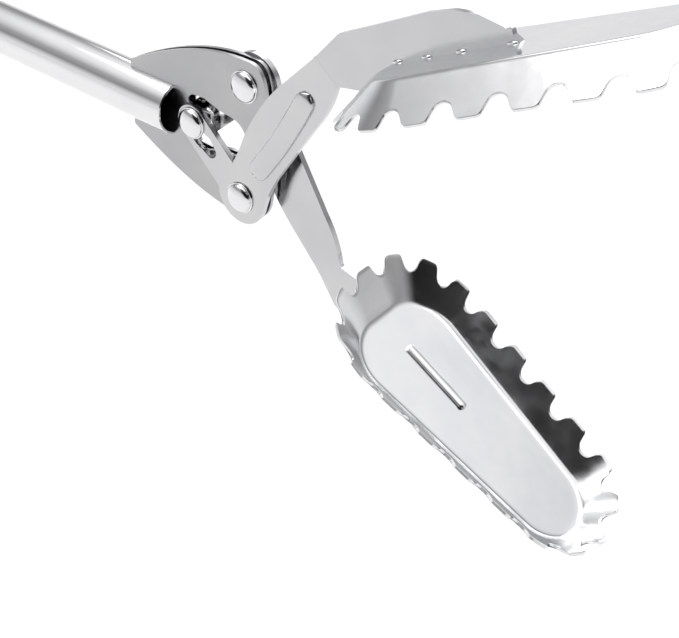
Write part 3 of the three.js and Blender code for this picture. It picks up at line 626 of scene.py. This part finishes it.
def cheek_drop(x, z):
    """How far the grip's oval cheek falls back at a place, from the flat one of its CAD shell."""
    low, high = GRIP_BOX
    back = (high.x - x) / (high.x - low.x)
    bottom = (-13 - 8 * back) * MM  # the grip is deeper toward its rear
    top = (13 + 2 * back) * MM
    bottom_fade = 7 * MM  # below the cheek the drop fades out
    share = (2 * z - bottom - top) / (top - bottom)
    if z < bottom:
        share = max(0.0, 1 - (bottom - z) / bottom_fade)
    return OVAL_DROP * min(1.0, share * share)


def crown(piece):
    """Rounds the grip's flat cheeks, so that its section becomes an oval, and leaves its inside alone."""
    half_width = -GRIP_BOX[0].y
    start, blend = 0.66 * half_width, 0.3 * half_width
    for vertex in piece.data.vertices:
        x, y, z = vertex.co
        outside = min(1.0, max(0.0, (abs(y) - start) / blend))
        vertex.co.y = y - math.copysign(outside * cheek_drop(x, z), y)


def grip_dots():
    """Raised dots on each side of the grip, in four groups of three rows, with two dots in the middle row."""
    first_x, group_pitch, dot_pitch = 14 * MM, 26 * MM, 4.2 * MM
    top_row, row_pitch = 4.6 * MM, 4.4 * MM
    sunk = 0.15 * MM
    face = -GRIP_BOX[0].y
    size = Matrix.Diagonal((1.3 * MM, 0.9 * MM, 1.3 * MM, 1))
    work = bmesh.new()
    for side in (-1, 1):
        for group in range(4):
            for row, (dots, shift) in enumerate(((3, 0), (2, 0.5), (3, 0))):
                for column in range(dots):
                    x = first_x - group * group_pitch - (column + shift) * dot_pitch
                    z = top_row - row * row_pitch
                    shape = Matrix.Translation((x, side * (face - cheek_drop(x, z) - sunk), z)) @ size
                    bmesh.ops.create_uvsphere(work, u_segments=18, v_segments=10, radius=1, matrix=shape)
    mesh = bpy.data.meshes.new("grip_dots")
    work.to_mesh(mesh)
    work.free()
    return finish_piece("grip_dots", mesh, ORANGE, "handle")


def collar():
    """The ring round the tube, with a shallow groove and a rounded front edge."""
    low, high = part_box("collar")
    radius = (high.z - low.z) / 2
    bore = 8.02 * MM
    length = high.x - low.x
    rear_ease, front_round = 0.4 * MM, 2.4 * MM
    groove_bottom = radius - 0.5 * MM
    profile = [(bore, 0), (radius - rear_ease, 0)]
    profile += arc_points(radius - rear_ease, rear_ease, rear_ease, -90, 0, 4)
    profile += [(radius, 3.2 * MM), (groove_bottom, 3.5 * MM), (groove_bottom, 4.1 * MM), (radius, 4.4 * MM)]
    profile += arc_points(radius - front_round, length - front_round, front_round, 0, 80, 8)
    profile += [(bore + 0.4 * MM, length), (bore, length - 0.3 * MM), (bore, 0)]
    lathe("collar_ring", profile, Vector((low.x, 0, 0)), (1, 0, 0), BLACK, "handle", "collar", steps=96)


def wire_bail():
    """The bent wire, with round bends where it turns."""
    low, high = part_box("wire_bail")
    radius = BAIL_WIRE_RADIUS
    y = high.y - radius
    top = Vector((low.x + radius, 0, high.z - radius))
    knee = BAIL_PIVOT + Vector((-15, 0, 1)) * MM
    bend_reach = 3.2 * MM
    bend_steps = 8
    corners = [BAIL_PIVOT, knee, top]
    left = [Vector((c.x, -y, c.z)) for c in corners]
    right = [Vector((c.x, y, c.z)) for c in reversed(corners)]
    loop = left + right
    points = []
    for k, corner in enumerate(loop):
        before, after = loop[k - 1], loop[(k + 1) % len(loop)]
        start = corner + (before - corner).normalized() * bend_reach
        end = corner + (after - corner).normalized() * bend_reach
        for step in range(bend_steps + 1):
            t = step / bend_steps
            points.append(start.lerp(corner, t).lerp(corner.lerp(end, t), t))
    vertices, faces = [], []
    steps = 20
    count = len(points)
    for k, point in enumerate(points):
        ahead = (points[(k + 1) % count] - points[k - 1]).normalized()
        aside = Vector((0.3, 0.2, 0.93)) if abs(ahead.z) < 0.9 else Vector((1, 0, 0))
        side = ahead.cross(aside).normalized()
        up = ahead.cross(side)
        for step in range(steps):
            turn = 2 * math.pi * step / steps
            vertices.append(point + (side * math.cos(turn) + up * math.sin(turn)) * radius)
    for k in range(count):
        n = (k + 1) % count
        for step in range(steps):
            nxt = (step + 1) % steps
            faces.append((k * steps + step, k * steps + nxt, n * steps + nxt, n * steps + step))
    new_piece("bail_wire", vertices, faces, WIRE, "bail", "wire_bail")


# ---------------------------------------------------------------- stage, light and camera
def floor():
    """A plain pale floor, far enough below the tool to leave no hard shadow."""
    size = 60.0  # half its width, in metres
    gap = 0.16
    level = CAD_BOUNDS[0][2] - gap
    corners = [(-size, -size, level), (size, -size, level), (size, size, level), (-size, size, level)]
    mesh = bpy.data.meshes.new("floor")
    mesh.from_pydata(corners, [], [(0, 1, 2, 3)])
    paint = Nodes("floor_white", (0.93, 0.93, 0.93), 0.9)
    mesh.materials.append(paint.material)
    plane = add_object("floor", mesh)


def area_light(name, offset, power):
    """A soft box that faces the head, at an offset from it in metres."""
    data = bpy.data.lights.new(name, "AREA")
    data.shape = "RECTANGLE"
    data.size, data.size_y = 0.9, 0.6
    data.energy = power
    place = HEAD + Vector(offset)
    lamp = add_object(name, data)
    lamp.location = place
    lamp.rotation_euler = (HEAD - place).to_track_quat("-Z", "Y").to_euler()


def studio():
    """Three lamps, and a world whose dark band and dark zone the pieces see, while the camera sees white."""
    dark_zone = Vector((0.55, -0.55, 0.6)).normalized()
    zone_edge, zone_core, zone_light = math.radians(54), math.radians(36), 0.03
    # (height on the room's sphere, 0 to 1 from straight down to straight up; brightness)
    stops = [(0.0, 0.9), (0.48, 0.95), (0.56, 0.7), (0.64, 0.3), (0.74, 0.45), (0.84, 1.0), (1.0, 1.15)]
    world = bpy.data.worlds.new("studio")
    world.use_nodes = True
    tree = world.node_tree
    tree.nodes.clear()
    place = tree.nodes.new("ShaderNodeTexCoord")
    split = tree.nodes.new("ShaderNodeSeparateXYZ")
    ramp = tree.nodes.new("ShaderNodeValToRGB")
    half = tree.nodes.new("ShaderNodeMath")
    half.operation = "MULTIPLY_ADD"
    half.inputs[1].default_value = 0.5
    half.inputs[2].default_value = 0.5
    elements = ramp.color_ramp.elements
    while len(elements) < len(stops):
        elements.new(0.5)
    for element, (position, value) in zip(elements, stops):
        element.position = position
        element.color = (value, value, value * 1.01, 1)
    background = tree.nodes.new("ShaderNodeBackground")
    plain = tree.nodes.new("ShaderNodeBackground")
    plain.inputs["Color"].default_value = (1, 1, 1, 1)
    plain.inputs["Strength"].default_value = 1.0
    path = tree.nodes.new("ShaderNodeLightPath")
    mix = tree.nodes.new("ShaderNodeMixShader")
    output = tree.nodes.new("ShaderNodeOutputWorld")
    tree.links.new(place.outputs["Generated"], split.inputs["Vector"])
    tree.links.new(split.outputs["Z"], half.inputs[0])
    tree.links.new(half.outputs["Value"], ramp.inputs["Fac"])
    toward = tree.nodes.new("ShaderNodeVectorMath")
    toward.operation = "DOT_PRODUCT"
    toward.inputs[1].default_value = dark_zone
    shade = tree.nodes.new("ShaderNodeMapRange")
    shade.interpolation_type = "SMOOTHSTEP"
    shade.inputs["From Min"].default_value = math.cos(zone_edge)
    shade.inputs["From Max"].default_value = math.cos(zone_core)
    shade.inputs["To Min"].default_value = 1.0
    shade.inputs["To Max"].default_value = zone_light
    tree.links.new(place.outputs["Generated"], toward.inputs[0])
    tree.links.new(toward.outputs["Value"], shade.inputs["Value"])
    tree.links.new(shade.outputs["Result"], background.inputs["Strength"])
    tree.links.new(ramp.outputs["Color"], background.inputs["Color"])
    tree.links.new(path.outputs["Is Camera Ray"], mix.inputs["Fac"])
    tree.links.new(background.outputs["Background"], mix.inputs[1])
    tree.links.new(plain.outputs["Background"], mix.inputs[2])
    tree.links.new(mix.outputs["Shader"], output.inputs["Surface"])
    bpy.context.scene.world = world
    area_light("key", (-0.7, -0.2, 1.2), 4)
    area_light("fill", (-0.5, 0.9, 0.7), 3)
    overhead = bpy.data.lights.new("overhead", "SUN")
    overhead.energy = 1.1
    overhead.angle = math.radians(70)
    add_object("overhead", overhead)


def camera():
    """Looks at the head from above, in front and beyond the scoops; the roll tilts the frame."""
    from_head = Vector((185.3, -206.0, 156.2)) * MM
    azimuth, elevation, roll = (math.radians(a) for a in (36.15, 38.29, 3.47))
    flat = math.cos(elevation)
    back = Vector((math.sin(azimuth) * flat, -math.cos(azimuth) * flat, math.sin(elevation)))
    right = Vector((math.cos(azimuth), math.sin(azimuth), 0))
    up = back.cross(right)
    turned_right = right * math.cos(roll) + up * math.sin(roll)
    turned_up = up * math.cos(roll) - right * math.sin(roll)
    data = bpy.data.cameras.new("camera")
    data.sensor_width = 36
    data.lens = 59.58
    data.clip_start = 0.01
    viewer = add_object("camera", data)
    rotation = Matrix((turned_right, turned_up, back)).transposed()
    viewer.matrix_world = Matrix.Translation(HEAD + from_head) @ rotation.to_4x4()
    bpy.context.scene.camera = viewer


# ---------------------------------------------------------------- the object
camera()
floor()
studio()
bpy.context.scene.view_settings.view_transform = "Standard"

shaft_tube()
for node in ("head_plate_front", "head_plate_rear"):
    dress(node, PLATE, 0.3 * MM)
for node, body in (("upper_pivot_rivet", "handle"), ("lower_pivot_rivet", "handle"), ("drive_pin", "rod")):
    rivet(node, body)
scoop("upper_scoop", "upper_jaw_scoop", "upper_jaw", 1)
scoop("lower_scoop", "lower_jaw_scoop", "lower_jaw", -1)
for jaw, side in (("upper_jaw", 1), ("lower_jaw", -1)):
    dress(jaw + "_arm", ARM, 0.35 * MM, 3)
    arm_bead(jaw + "_bead", jaw, side)
    weld_spots(jaw + "_welds", jaw, side)
    tab_weld(jaw + "_tab_weld", jaw, side)
for node in ("upper_pivot_spacer", "lower_pivot_spacer", "rod_blade", "push_rod", "rod_clevis", "link_pin",
             "spring_seat", "return_spring", "tube_cross_pin"):
    dress(node, STEEL, 0.15 * MM)
for half in ("left", "right"):
    shell = remeshed("grip_" + half + "_shell", "grip_shell_" + half, ORANGE, "handle")
    crown(shell)
grip_dots()
collar()
dress("hanging_loop", ORANGE, 0.8 * MM, 3)
dress("trigger", BLACK, 0.9 * MM, 3)
dress("end_cap", BLACK, 0.3 * MM)
for node in ("spring_stop_bush", "rod_guide_bush"):
    dress(node, BLACK, 0.2 * MM)
for node in ("grip_screw_1", "grip_screw_2", "trigger_pivot_pin"):
    dress(node, WIRE, 0.2 * MM)
wire_bail()
